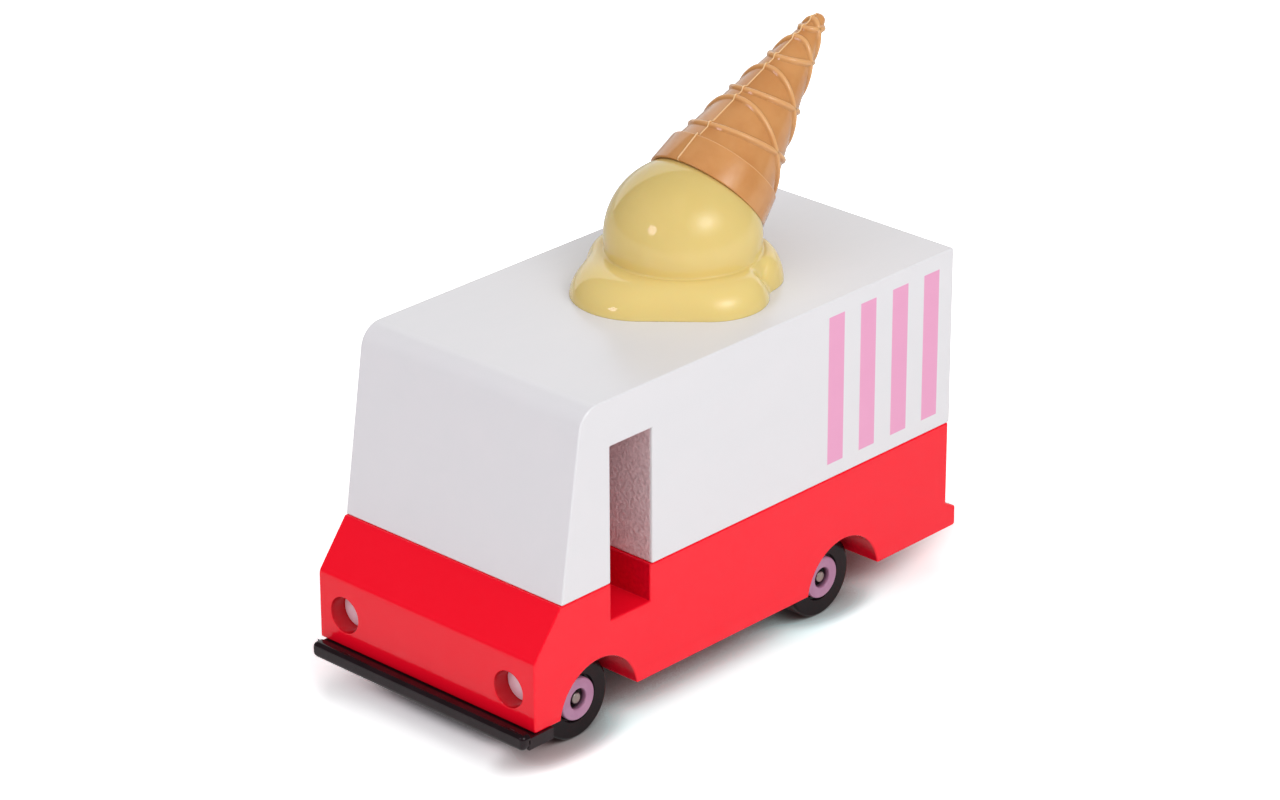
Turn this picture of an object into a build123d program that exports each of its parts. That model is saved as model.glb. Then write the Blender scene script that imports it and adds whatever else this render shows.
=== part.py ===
"""A painted wooden toy ice cream truck with a melted scoop and an upturned cone on its roof.

Millimetres. +X points out of the nose, +Y to the side with the visible cab doorway, +Z up.
The origin is on the floor, under the middle of the toy from the rear ledge to the bumper.
"""

from build123d import *
from math import cos, radians, sin
import os

# Body, a lower and an upper wooden block glued one on the other
body_width = 50.8
body_length = 104.5  # rear face of the upper block to the upright nose
lower_height = 20.8
upper_height = 33.2
edge_round = 0.5  # sanded edges of the blocks

# Lower block
nose_height = 12.6
hood_setback = 6.3  # top of the sloping hood, behind the nose
hood_round = 2.0  # soft break from the hood to the upright nose
lower_rear_inset = 0.4
ledge_depth = 2.2  # rear ledge, behind the upper block
ledge_height = 3.7
ledge_rise = 1.4  # how much higher the ledge is where it meets the block

# Upper block
windscreen_setback = 6.6  # foot of the raked front face, behind the nose
windscreen_lean = 5.0
roof_round = 4.4  # soft edge from the roof to the raked front

# Doorway cut right through both blocks
doorway_width = 9.9
doorway_setback = 18.2  # its front jamb, behind the nose
doorway_sill = 14.1  # above the underside
doorway_lintel = 8.5  # wood left above it
doorway_ledge = 0.5  # the lower block's rear jamb stands that far ahead of the upper block's

# Headlights, round recesses with a pale disc at the bottom
lamp_radius = 3.2
lamp_inset = 6.0  # centre, in from the side of the body
lamp_height = 6.1  # above the underside
lamp_depth = 2.8  # to the face of the disc
lamp_disc = 1.0

# Wheels and axles
wheel_radius = 7.4
wheel_width = 6.5
wheel_inset = 5.35  # tyre face, in from the side of the body
wheel_edge = 0.5
boss_radius = 2.4
boss_length = 1.15  # behind the tyre
boss_gap = 0.4  # side play between boss and axle housing
hub_radius = 3.8
hub_thick = 1.3
hub_proud = 0.5  # hub disc, out from the tyre face
hub_hole = 1.85
hub_gap = 0.45  # groove round the hub disc
hub_seat = 0.8  # depth of the seat in the tyre
axle_radius = 1.0
axle_short = 0.4  # axle end, in from the face of the hub disc
front_axle_setback = 15.3  # behind the nose
rear_axle_inset = 27.9  # ahead of the rear face
axle_drop = 1.25  # axle centre, below the underside
arch_gap = 1.8  # round the tyre
running_gap = 0.05  # axle in its bore

# Chassis, one black moulding with the bumper at its front
plate_thick = 2.1
apron_overlap = 3.9  # wide front part, under the nose
bumper_reach = 3.3  # bumper face, ahead of the nose
bumper_overhang = 0.5  # past each side of the body
bar_thick = 1.9
bar_rise = 0.8  # above the underside
bar_round = 0.8
housing_setback = 0.2  # end of the housing, in from the floor of the wheel pocket
housing_length = 8.0
housing_drop = 3.0  # below the axle centre
housing_rise = 2.0  # let into the wood
fit_gap = 0.1  # round what is let into the wood
tail_length = 8.0  # behind the rear axle

# Melted scoop on the roof
ball_radius = 13.65
ball_lift = 7.8  # ball centre, above the roof
ball_inset = 41.6  # ball centre, ahead of the rear face
puddle_height = 5.75
puddle_round = 5.0
puddle_core = 12.5  # round middle of the puddle, hidden by its lobes
valley_round = 4.0  # between two lobes

# Cone, upside down and leaning to the rear
cone_lean = 49.8  # degrees from upright
cone_shift = 0.65  # its axis passes that far above the ball centre
cone_mouth_radius = 11.15
cone_mouth_offset = 8.1  # mouth plane, from the ball centre
cone_length = 38.2
cone_tip_radius = 1.0
cone_tip_round = 0.8
collar_length = 5.8
collar_radius = 10.4  # top of the smooth collar
cone_start_radius = 9.7  # cone above the collar
glue_gap = 0.05  # mouth to ball
rib_width = 0.9
rib_height = 0.45

# Levels and places that follow
z_axle = wheel_radius
z_under = z_axle + axle_drop
z_seam = z_under + lower_height
z_roof = z_seam + upper_height
x_rear = (ledge_depth - body_length - bumper_reach) / 2
x_nose = x_rear + body_length
x_front_axle = x_nose - front_axle_setback
x_rear_axle = x_rear + rear_axle_inset
side = body_width / 2
y_lamp = side - lamp_inset
tyre_face = side - wheel_inset
tyre_back = tyre_face - wheel_width
housing_half = tyre_back - boss_length - boss_gap
web_half = housing_half + housing_setback
x_doorway = x_nose - doorway_setback - doorway_width / 2

os.makedirs("parts", exist_ok=True)


def finish(piece, name):
    """Labels a finished piece and writes it."""
    piece.part.label = name
    export_step(piece.part, f"parts/{name}.step")


# Lower block, the red one
with BuildPart() as lower_body:
    with BuildSketch(Plane.XZ.offset(-side)):
        with BuildLine():
            Polyline(
                (x_rear - ledge_depth, z_under),
                (x_nose, z_under),
                (x_nose, z_under + nose_height),
                (x_nose - hood_setback, z_seam),
                (x_rear + lower_rear_inset, z_seam),
                (x_rear + lower_rear_inset, z_under + ledge_height + ledge_rise),
                (x_rear - ledge_depth, z_under + ledge_height),
                close=True,
            )
        make_face()
    extrude(amount=body_width)
    nose_edges = lower_body.edges().filter_by(Axis.Y).group_by(Axis.X)[-1].sort_by(Axis.Z)
    fillet(nose_edges[-1], hood_round)
    fillet(lower_body.edges().filter_by(Axis.Y).group_by(Axis.Z)[0], edge_round)
    # Wheel pockets, bored in from each side
    for x_axle in (x_front_axle, x_rear_axle):
        for y_mouth in (-side, web_half):
            with BuildSketch(Plane.XZ.offset(-y_mouth)):
                with Locations((x_axle, z_axle)):
                    Circle(wheel_radius + arch_gap)
            extrude(amount=-(side - web_half), mode=Mode.SUBTRACT)
        # Groove across the web for the axle housing
        with BuildSketch(Plane.XY.offset(z_under)):
            with Locations((x_axle, 0)):
                Rectangle(housing_length + 2 * fit_gap, 2 * web_half)
        extrude(amount=housing_rise + fit_gap, mode=Mode.SUBTRACT)
    # Foot of the doorway
    with BuildSketch(Plane.XY.offset(z_under + doorway_sill)):
        with Locations((x_doorway + doorway_ledge / 2, 0)):
            Rectangle(doorway_width - doorway_ledge, body_width)
    extrude(amount=lower_height - doorway_sill, mode=Mode.SUBTRACT)
    # Headlight recesses
    with BuildSketch(Plane.YZ.offset(x_nose)):
        with Locations((-y_lamp, z_under + lamp_height), (y_lamp, z_under + lamp_height)):
            Circle(lamp_radius)
    extrude(amount=-(lamp_depth + lamp_disc), mode=Mode.SUBTRACT)
finish(lower_body, "lower_body")

# Upper block, the white one
with BuildPart() as upper_body:
    x_screen = x_nose - windscreen_setback
    with BuildSketch(Plane.XZ.offset(-side)):
        with BuildLine():
            Polyline(
                (x_rear, z_seam),
                (x_screen, z_seam),
                (x_screen - windscreen_lean, z_roof),
                (x_rear, z_roof),
                close=True,
            )
        make_face()
    extrude(amount=body_width)
    top_edges = upper_body.edges().filter_by(Axis.Y).group_by(Axis.Z)[-1].sort_by(Axis.X)
    fillet(top_edges[-1], roof_round)
    # Doorway, up to the lintel
    with BuildSketch(Plane.XY.offset(z_seam)):
        with Locations((x_doorway, 0)):
            Rectangle(doorway_width, body_width)
    extrude(amount=upper_height - doorway_lintel, mode=Mode.SUBTRACT)
finish(upper_body, "upper_body")

# Bar along the front edge of the chassis, round at its edges and ends
z_plate = z_under - plate_thick
x_bumper = x_nose + bumper_reach
apron_width = body_width + 2 * bumper_overhang
with BuildPart() as bar:
    with BuildSketch(Plane.XY.offset(z_plate)):
        with Locations((x_bumper - bar_thick / 2, 0)):
            Rectangle(bar_thick, apron_width)
    extrude(amount=plate_thick + bar_rise)
    fillet(bar.edges(), bar_round)

# Chassis with the front bumper and the two axle housings
with BuildPart() as chassis:
    x_apron = x_nose - apron_overlap
    x_tail = x_rear_axle - tail_length
    with BuildSketch(Plane.XY.offset(z_plate)):
        with Locations(((x_apron + x_bumper - bar_thick / 2) / 2, 0)):
            Rectangle(x_bumper - bar_thick / 2 - x_apron, apron_width)
        with Locations(((x_tail + x_apron) / 2, 0)):
            Rectangle(x_apron - x_tail + 2 * edge_round, 2 * housing_half)
    extrude(amount=plate_thick)
    add(bar.part)
    # Axle housings
    for x_axle in (x_front_axle, x_rear_axle):
        with BuildSketch(Plane.XY.offset(z_axle - housing_drop)):
            with Locations((x_axle, 0)):
                Rectangle(housing_length, 2 * housing_half)
        extrude(amount=housing_drop + axle_drop + housing_rise)
        with BuildSketch(Plane.XZ):
            with Locations((x_axle, z_axle)):
                Circle(axle_radius + running_gap)
        extrude(amount=housing_half, both=True, mode=Mode.SUBTRACT)
finish(chassis, "chassis")

# Headlight discs
for name, y_disc in (("headlight_left", y_lamp), ("headlight_right", -y_lamp)):
    with BuildPart() as lamp:
        with BuildSketch(Plane.YZ.offset(x_nose - lamp_depth - lamp_disc)):
            with Locations((y_disc, z_under + lamp_height)):
                Circle(lamp_radius)
        extrude(amount=lamp_disc)
    finish(lamp, name)

# Axles and wheels; a wheel is turned about its axle from half of its section
for end, x_axle in (("front", x_front_axle), ("rear", x_rear_axle)):
    with BuildPart() as axle:
        with BuildSketch(Plane.XZ):
            with Locations((x_axle, z_axle)):
                Circle(axle_radius)
        extrude(amount=tyre_face + hub_proud - axle_short, both=True)
    finish(axle, f"{end}_axle")

    for hand, out in (("left", 1), ("right", -1)):
        across = Plane(origin=(x_axle, 0, z_axle), x_dir=(0, out, 0), z_dir=(1, 0, 0))
        with BuildPart() as tyre:
            with BuildSketch(across) as section:
                with BuildLine():
                    Polyline(
                        (housing_half + boss_gap, axle_radius),
                        (housing_half + boss_gap, boss_radius),
                        (tyre_back, boss_radius),
                        (tyre_back, wheel_radius),
                        (tyre_face, wheel_radius),
                        (tyre_face, hub_radius + hub_gap),
                        (tyre_face - hub_seat, hub_radius + hub_gap),
                        (tyre_face - hub_seat, axle_radius),
                        close=True,
                    )
                make_face()
                chamfer(section.vertices().group_by(Axis.Y)[-1], wheel_edge)
            revolve(axis=Axis((x_axle, 0, z_axle), (0, 1, 0)))
        finish(tyre, f"{end}_{hand}_tyre")

        with BuildPart() as hub:
            with BuildSketch(across):
                with Locations((tyre_face + hub_proud - hub_thick / 2, (hub_radius + hub_hole) / 2)):
                    Rectangle(hub_thick, hub_radius - hub_hole)
            revolve(axis=Axis((x_axle, 0, z_axle), (0, 1, 0)))
        finish(hub, f"{end}_{hand}_hub")

# Melted scoop: a lobed puddle with a ball standing in it, one moulding.
# Each lobe: bearing of its centre in degrees from the nose, distance and radius.
# A pair of lobes is joined by straight tangents, and the valleys lie between the pairs.
x_ball = x_rear + ball_inset
lobe_groups = (
    ((-10, 9.9, 12.2), (69, 9.8, 10.3)),
    ((128, 7.8, 9.6), (166, 6.0, 9.2)),
    ((-78, 7.0, 10.8), (-128, 6.8, 9.6)),
)
with BuildPart() as scoop:
    with BuildSketch(Plane.XY.offset(z_roof)) as outline:
        with Locations((x_ball, 0)):
            Circle(puddle_core)
        for group in lobe_groups:
            with BuildSketch(mode=Mode.PRIVATE) as lobes:
                for bearing, distance, radius in group:
                    centre = Vector(distance, 0).rotate(Axis.Z, bearing)
                    with Locations((x_ball + centre.X, centre.Y)):
                        Circle(radius)
                make_hull()
            add(lobes.sketch)
        # A valley is a corner where two arcs meet; the straight tangents join them smoothly
        arcs = outline.edges().filter_by(GeomType.CIRCLE)
        valleys = [v for v in outline.vertices() if sum(v in arc.vertices() for arc in arcs) == 2]
        fillet(valleys, valley_round)
    extrude(amount=puddle_height)
    fillet(scoop.edges().group_by(Axis.Z)[-1], puddle_round)
    with Locations((x_ball, 0, z_roof + ball_lift)):
        Sphere(ball_radius)
    split(bisect_by=Plane.XY.offset(z_roof), keep=Keep.TOP)
finish(scoop, "scoop")

# Cone: turned about its leaning axis, its mouth cut out to seat on the ball
lean = radians(cone_lean)
cone_way = Vector(-sin(lean), 0, cos(lean))
cone_front = Vector(cos(lean), 0, sin(lean))  # across the axis, to the cone's upper side
ball_centre = Vector(x_ball, 0, z_roof + ball_lift)
cone_foot = ball_centre + cone_front * cone_shift
cone_axis = Axis(cone_foot, cone_way)
cone_plane = Plane(origin=cone_foot, x_dir=cone_front, z_dir=(0, -1, 0))
mouth = cone_mouth_offset
shoulder = mouth + collar_length
tip = mouth + cone_length

# Ribs: slices of a slightly larger cone between two planes, tilted to one side and the other in turn,
# so that they cross at both sides. Each row: where its middle plane meets the axis, from 0 at the
# shoulder to 1 at the tip, its tilt, and the bearing of its high side from the cone's upper side.
cone_ribs = (
    (0.154, 13, 164),
    (0.151, 36, 6),
    (0.435, 17, 176),
    (0.432, 40, 9),
    (0.713, 30, 180),
    (0.694, 52, 20),
    (0.917, 36, 177),
    (0.880, 55, 1),
)
rib_slices = []
for part_way, tilt, bearing in cone_ribs:
    high_side = cone_front.rotate(Axis((0, 0, 0), cone_way), bearing)
    across = cone_way.cross(high_side)
    middle = Plane(
        origin=cone_foot + cone_way * (shoulder + part_way * (tip - shoulder)),
        x_dir=across,
        z_dir=cone_way.rotate(Axis((0, 0, 0), across), -tilt),
    )
    with BuildPart() as rib:
        with BuildSketch(middle.offset(-rib_width / 2)):
            Rectangle(4 * cone_start_radius, 4 * cone_start_radius)
        extrude(amount=rib_width)
        with BuildSketch(cone_plane):
            with BuildLine():
                Polyline(
                    (0, shoulder - collar_length / 2),
                    (cone_start_radius + rib_height, shoulder - collar_length / 2),
                    (cone_start_radius + rib_height, shoulder),
                    (cone_tip_radius + rib_height, tip),
                    (0, tip),
                    close=True,
                )
            make_face()
        revolve(axis=cone_axis, mode=Mode.INTERSECT)
    rib_slices.append(rib.part)

with BuildPart() as cone:
    with BuildSketch(cone_plane):
        with BuildLine():
            Polyline(
                (0, mouth),
                (cone_mouth_radius, mouth),
                (collar_radius, shoulder),
                (cone_start_radius, shoulder),
                (cone_tip_radius, tip),
                (0, tip),
                close=True,
            )
        make_face()
    revolve(axis=cone_axis)
    fillet(cone.edges().filter_by(GeomType.CIRCLE).sort_by_distance(cone_foot)[-1], cone_tip_round)
    add(rib_slices)
    with Locations(ball_centre):
        Sphere(ball_radius + glue_gap, mode=Mode.SUBTRACT)
finish(cone, "cone")
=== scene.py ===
# %% [markdown]
# # A painted wooden toy ice cream truck
#
# The toy is two blocks of wood glued one on the other, red below and white above, on a black
# moulding that is bumper and axle housing in one. A plastic scoop of melting ice cream lies on
# the roof with its cone stuck in it upside down. We take the solid model as it is, in metres,
# and give each piece the edges, roundness and finish that the eye sees on the real toy.

# %% Load the fixed frame
import bmesh
import bpy
from math import acos, atan2, cos, degrees, exp, log, pi, radians, sin, sqrt, tan
from mathutils import Matrix, Vector


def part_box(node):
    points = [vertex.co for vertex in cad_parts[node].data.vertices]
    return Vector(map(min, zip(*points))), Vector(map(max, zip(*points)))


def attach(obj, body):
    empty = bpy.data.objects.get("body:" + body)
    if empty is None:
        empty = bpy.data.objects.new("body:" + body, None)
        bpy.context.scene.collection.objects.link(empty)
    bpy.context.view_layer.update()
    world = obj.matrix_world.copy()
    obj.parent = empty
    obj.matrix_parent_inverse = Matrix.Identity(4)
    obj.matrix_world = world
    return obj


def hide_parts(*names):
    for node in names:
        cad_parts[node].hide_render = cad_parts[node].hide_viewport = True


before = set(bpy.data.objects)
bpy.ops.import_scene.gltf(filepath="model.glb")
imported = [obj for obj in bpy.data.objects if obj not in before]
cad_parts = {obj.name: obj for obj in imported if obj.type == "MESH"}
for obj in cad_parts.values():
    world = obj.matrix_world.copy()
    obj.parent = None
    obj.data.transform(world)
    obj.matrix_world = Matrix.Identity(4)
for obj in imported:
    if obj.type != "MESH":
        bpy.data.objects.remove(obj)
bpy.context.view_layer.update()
MM = 0.001

# %% [markdown]
# ## Sizes that the pieces share
#
# Most sizes can be read from the boxes of the solid pieces, so that the looks follow the model.
# A few, such as the corner of a doorway, aren't at the edge of any box and are written here.

# %% Read the sizes from the frame
white_low, white_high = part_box("upper_body")
side = white_high.y
seam = white_low.z
roof = white_high.z
rear = white_low.x
doorway_front = 33.5 * MM
doorway_rear = 23.6 * MM
red_jamb = 24.1 * MM
doorway_foot = 22.75 * MM
doorway_head = 54.15 * MM
print(f"blocks {2 * side / MM:.1f} wide, seam at {seam / MM:.2f}, roof at {roof / MM:.2f}")

# %% [markdown]
# ## Camera
#
# The camera stands far off to the front left and looks down on the toy, through a long lens, so
# that edges which run away from us stay nearly parallel. Its place and turn were worked out from
# the toy's own straight edges. The turn is made of three simple ones: about the upright for the
# heading, about the camera's own side for the tilt, and a trace about its line of sight.

# %% Set up the camera
camera_place = Vector((531.55, 502.19, 377.13)) * MM
camera_heading = 223.35
camera_tilt_down = 24.53
camera_roll = 0.17
camera = bpy.data.objects.new("camera", bpy.data.cameras.new("camera"))
camera.data.sensor_width = 36
camera.data.lens = 132.54
camera.matrix_world = (
    Matrix.Translation(camera_place)
    @ Matrix.Rotation(radians(camera_heading - 90), 4, "Z")
    @ Matrix.Rotation(radians(90 - camera_tilt_down), 4, "X")
    @ Matrix.Rotation(radians(-camera_roll), 4, "Z")
)
bpy.context.collection.objects.link(camera)
bpy.context.scene.camera = camera
print(f"camera {camera_place.length:.2f} m away, lens {camera.data.lens} mm")

# %% [markdown]
# ## Helpers for finishes and light
#
# Paint and plastic are never one flat tone. Each finish starts from one shader whose fixed values
# are set on its own sockets, and gets its patterns from noise that is read at the surface's own
# place on the toy, so they stay put when a wheel turns and come along in an export.

# %% Start a finish and its patterns
def screen_tone(red, green, blue):
    """A colour given in the 0 to 255 of a screen, as the linear values a shader takes."""
    return [((c / 255 + 0.055) / 1.055) ** 2.4 for c in (red, green, blue)]


def start_finish(name, tone, roughness):
    """A new material, its shader and the place on the piece that its patterns read."""
    finish = bpy.data.materials.new(name)
    finish.use_nodes = True
    tree = finish.node_tree
    shader = tree.nodes["Principled BSDF"]
    shader.inputs["Base Color"].default_value = (*tone, 1)
    shader.inputs["Roughness"].default_value = roughness
    place = tree.nodes.new("ShaderNodeTexCoord").outputs["Object"]
    return finish, tree, shader, place


def coordinates(tree, place):
    """The x, y and z of a place, as sockets."""
    split = tree.nodes.new("ShaderNodeSeparateXYZ")
    tree.links.new(place, split.inputs["Vector"])
    return split.outputs


def noise(tree, place, size, detail=2.0, stretch=(1, 1, 1)):
    """Cloudy noise whose lumps are about size across, in metres."""
    scaled = tree.nodes.new("ShaderNodeMapping")
    scaled.inputs["Scale"].default_value = Vector(stretch) / size
    cloud = tree.nodes.new("ShaderNodeTexNoise")
    cloud.inputs["Scale"].default_value = 1
    cloud.inputs["Detail"].default_value = detail
    tree.links.new(place, scaled.inputs["Vector"])
    tree.links.new(scaled.outputs["Vector"], cloud.inputs["Vector"])
    return cloud.outputs["Fac"]


def ramp(tree, value, low, high, at_low=0.0, at_high=1.0):
    """A value brought smoothly from low..high to at_low..at_high."""
    step = tree.nodes.new("ShaderNodeMapRange")
    step.interpolation_type = "SMOOTHSTEP"
    for name, number in (("From Min", low), ("From Max", high), ("To Min", at_low), ("To Max", at_high)):
        step.inputs[name].default_value = number
    tree.links.new(value, step.inputs["Value"])
    return step.outputs["Result"]


def calculate(tree, operation, first, second):
    """One step of arithmetic on sockets or numbers."""
    step = tree.nodes.new("ShaderNodeMath")
    step.operation = operation
    for socket, value in zip(step.inputs, (first, second)):
        if isinstance(value, (int, float)):
            socket.default_value = value
        else:
            tree.links.new(value, socket)
    return step.outputs[0]


def product(tree, first, *others):
    """Sockets or numbers multiplied."""
    for other in others:
        first = calculate(tree, "MULTIPLY", first, other)
    return first


def blend_tones(tree, share, first, second):
    """The first colour where share is 0 and the second where it is 1. Each is a tone or a socket."""
    mix = tree.nodes.new("ShaderNodeMix")
    mix.data_type = "RGBA"
    tree.links.new(share, mix.inputs["Factor"])
    colours = [s for s in mix.inputs if s.type == "RGBA"]
    for socket, tone in zip(colours, (first, second)):
        if isinstance(tone, list):
            socket.default_value = (*tone, 1)
        else:
            tree.links.new(tone, socket)
    return [s for s in mix.outputs if s.type == "RGBA"][0]


def raise_bumps(tree, shader, layers):
    """Bumps from (height socket, depth in metres) layers, each laid over the one before."""
    normal = None
    for height, depth in layers:
        bump = tree.nodes.new("ShaderNodeBump")
        bump.inputs["Distance"].default_value = depth
        tree.links.new(height, bump.inputs["Height"])
        if normal is not None:
            tree.links.new(normal, bump.inputs["Normal"])
        normal = bump.outputs["Normal"]
    tree.links.new(normal, shader.inputs["Normal"])


def within(tree, value, low, high, soft):
    """1 where value lies between low and high and 0 outside, over an edge as wide as soft."""
    middle = (low + high) / 2
    half = (high - low) / 2
    from_middle = calculate(tree, "ABSOLUTE", calculate(tree, "SUBTRACT", value, middle), 0.0)
    return ramp(tree, from_middle, half - soft / 2, half + soft / 2, 1.0, 0.0)


print("middle grey of a screen as a shader takes it:", round(screen_tone(128, 128, 128)[0], 3))

# %% [markdown]
# ## Floor, backdrop and light
#
# The toy stands on a white sweep in soft light. The room lights it most from the camera's side,
# so the world's brightness falls off evenly from there to the far side. A wide soft panel stands
# to its left and a small one ahead of the nose. What looks straight at the world sees white. In
# a reflection only a white card behind the toy does, and the rest of the room is dim, which is
# what gives gloss its depth and lets the satin roof mirror the scoop.

# %% Light the room
bpy.context.scene.view_settings.view_transform = "Standard"
room_middle = 0.35
room_lean = 0.57
overhead = 0.2
darkest = 0.05
bright_side = (50, 35)
card_middle = (-137, 6)
card_half_angle = 46
card_soft = 0.02
card_strength = 1.25
dim_room = 0.12


def way_to(heading, height):
    """The direction at a heading from the nose towards the left side, and a height, in degrees."""
    h, v = radians(heading), radians(height)
    return Vector((cos(h) * cos(v), sin(h) * cos(v), sin(v)))


def facing(tree, heading, height):
    """In the world, how nearly a ray looks towards a direction: 1 straight at it, -1 away."""
    dot = tree.nodes.new("ShaderNodeVectorMath")
    dot.operation = "DOT_PRODUCT"
    dot.inputs[1].default_value = way_to(heading, height)
    tree.links.new(tree.nodes.new("ShaderNodeTexCoord").outputs["Generated"], dot.inputs[0])
    return dot.outputs["Value"]


def white_light(tree, strength):
    """White light of a strength that is a number or a socket."""
    light = tree.nodes.new("ShaderNodeBackground")
    light.inputs["Color"].default_value = (1, 1, 1, 1)
    if isinstance(strength, (int, float)):
        light.inputs["Strength"].default_value = strength
    else:
        tree.links.new(strength, light.inputs["Strength"])
    return light.outputs["Background"]


def path_share(tree, *names):
    """1 for a ray of one of the named kinds, and 0 for any other."""
    path = tree.nodes.new("ShaderNodeLightPath")
    share = path.outputs[names[0]]
    for name in names[1:]:
        share = calculate(tree, "MAXIMUM", share, path.outputs[name])
    return share


def by_ray(tree, first, *others):
    """The first shader, but each of the others for the rays named with it."""
    shown = first
    for names, shader in others:
        choice = tree.nodes.new("ShaderNodeMixShader")
        tree.links.new(path_share(tree, *names), choice.inputs["Fac"])
        tree.links.new(shown, choice.inputs[1])
        tree.links.new(shader, choice.inputs[2])
        shown = choice.outputs["Shader"]
    return shown


print("brightest towards", [round(part, 2) for part in way_to(*bright_side)])

# %% Set up the world
world = bpy.data.worlds.new("white_room")
bpy.context.scene.world = world
world.use_nodes = True
room = world.node_tree
room.nodes.remove(room.nodes["Background"])
fall_off = product(room, facing(room, *bright_side), room_lean)
above = product(room, calculate(room, "POWER", facing(room, 0, 90), 2.0), overhead)
falling = calculate(room, "ADD", calculate(room, "ADD", fall_off, above), room_middle)
room_light = white_light(room, calculate(room, "MAXIMUM", falling, darkest))
card = facing(room, *card_middle)
card_edge = cos(radians(card_half_angle))
card_seen = ramp(room, card, card_edge - card_soft, card_edge + card_soft, dim_room, card_strength)
mirrored = white_light(room, card_seen)
room_shown = by_ray(
    room, room_light,
    (("Is Glossy Ray", "Is Transmission Ray"), mirrored),
    (("Is Camera Ray",), white_light(room, 1.0)),
)
room.links.new(room_shown, room.nodes["World Output"].inputs["Surface"])
print("world", len(room.nodes), "nodes")

# %% [markdown]
# The wide panel is four ellipses, each smaller than the one behind it and a little nearer, so
# that its mirror image in the ball has a soft edge. Strength is given as the radiance of a face.
# The small panel ahead of the nose is faintly lilac, which tints the white front.

# %% Set up the panels
panel_distance = 0.7
panel_step = 0.01
side_panel_at = (85, 38)
side_panels = ((0.74, 0.5, 0.6), (0.52, 0.36, 0.9), (0.34, 0.24, 1.3), (0.2, 0.15, 1.9))
nose_panel_at = (-6, 25)
nose_panel_size = 0.16
nose_radiance = 5.5
faint_lilac = (1.0, 0.82, 1.0)


def light_panel(name, heading, height, distance, width, tall, radiance, colour=(1, 1, 1)):
    """An elliptic panel of light that faces the toy's middle."""
    way = way_to(heading, height)
    lamp = bpy.data.objects.new(name, bpy.data.lights.new(name, "AREA"))
    lamp.data.shape = "ELLIPSE"
    lamp.data.size = width
    lamp.data.size_y = tall
    lamp.data.energy = radiance * pi * pi / 4 * width * tall
    lamp.data.color = colour
    turn = way.to_track_quat("Z", "Y").to_matrix().to_4x4()
    lamp.matrix_world = Matrix.Translation(Vector((0, 0, seam)) + way * distance) @ turn
    bpy.context.collection.objects.link(lamp)
    print(f"{name}: {width} x {tall} m, {lamp.data.energy:.2f} W")


for i, (width, tall, radiance) in enumerate(side_panels):
    distance = panel_distance - i * panel_step
    light_panel(f"side_panel_{i + 1}", *side_panel_at, distance, width, tall, radiance)
light_panel(
    "nose_panel", *nose_panel_at, panel_distance, nose_panel_size, nose_panel_size, nose_radiance,
    faint_lilac,
)

# %% [markdown]
# The floor is plain card to the light that it hands back to the toy. The camera sees it brighter,
# so that it comes out white where nothing shades it. Round the toy the camera sees a painted shadow,
# darker where the toy hides much of the room. Deep under the toy it is a darker and cooler card,
# which keeps that painted shadow neutral beside the red paint. Ahead of the bumper and on the far
# side it is painted lighter. On the panels' side painted shadows are laid as well round the wheels
# and under the tail, in soft ovals, where light as wide as ours washes the shadows out. Each oval is
# given by its middle and half sizes in millimetres, how dark it is at its middle, and the red it
# keeps there.

# %% Lay the floor
floor_size = 8.0
floor_mesh = bmesh.new()
bmesh.ops.create_grid(floor_mesh, x_segments=1, y_segments=1, size=floor_size / 2)
floor = bpy.data.objects.new("floor", bpy.data.meshes.new("floor"))
floor_mesh.to_mesh(floor.data)
floor_mesh.free()
bpy.context.collection.objects.link(floor)
print(f"floor {floor_size} m wide")

# %% Mix the floor's card
floor_tone = 0.9
open_tone = 1.65
edge_tone = 1.95
shade_tone = 0.45
red_kept = 0.68
shade_reach = 60 * MM
deep_shade = (0.08, 0.34)
faint_shade = (0.36, 0.62)
bumper_line = 48 * MM
shade_ahead = 8.0
edge_ahead = 1.2
wheel_line = 36 * MM
far_tone = 2.0
far_line = -25 * MM
painted_shadow_ovals = (
    (40, 19.5, 17, 7.5, 0.72, 0.1),
    (-28, 19, 13, 6, 0.6, 0.16),
    (-54, 2, 24, 19, 0.62, 0.0),
)


def card_shader(tree, colour):
    """Plain card of a colour that is a tone or a socket."""
    card = tree.nodes.new("ShaderNodeBsdfDiffuse")
    if isinstance(colour, (tuple, list)):
        card.inputs["Color"].default_value = (*colour, 1)
    else:
        tree.links.new(colour, card.inputs["Color"])
    return card.outputs["BSDF"]


floor_finish = bpy.data.materials.new("white_sweep")
floor_finish.use_nodes = True
floor_tree = floor_finish.node_tree
floor_tree.nodes.remove(floor_tree.nodes["Principled BSDF"])
# Painted shadow: the floor that the camera sees is darker where the toy hides much of the room.
openness = floor_tree.nodes.new("ShaderNodeAmbientOcclusion")
openness.inputs["Distance"].default_value = shade_reach
under_toy = ramp(floor_tree, openness.outputs["AO"], *deep_shade)
beside_toy = ramp(floor_tree, openness.outputs["AO"], *faint_shade)
floor_place = coordinates(floor_tree, floor_tree.nodes.new("ShaderNodeTexCoord").outputs["Object"])


def past(axis, line, half_soft):
    """0 on the floor before a line across an axis, and 1 past it."""
    return ramp(floor_tree, floor_place[axis], line - half_soft, line + half_soft)


ahead = past("X", bumper_line, 2 * MM)
past_paint = past("X", wheel_line, 8 * MM)
near_side = past("Y", far_line, 5 * MM)


def beside_red(tone, lighter):
    """A painted shadow tone: cooler beside the red paint, plain past it and painted lighter ahead of the
    bumper.
    """
    cooler = blend_tones(floor_tree, past_paint, [tone * red_kept, tone, tone], [tone] * 3)
    return blend_tones(floor_tree, ahead, cooler, [tone * lighter] * 3)


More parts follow.
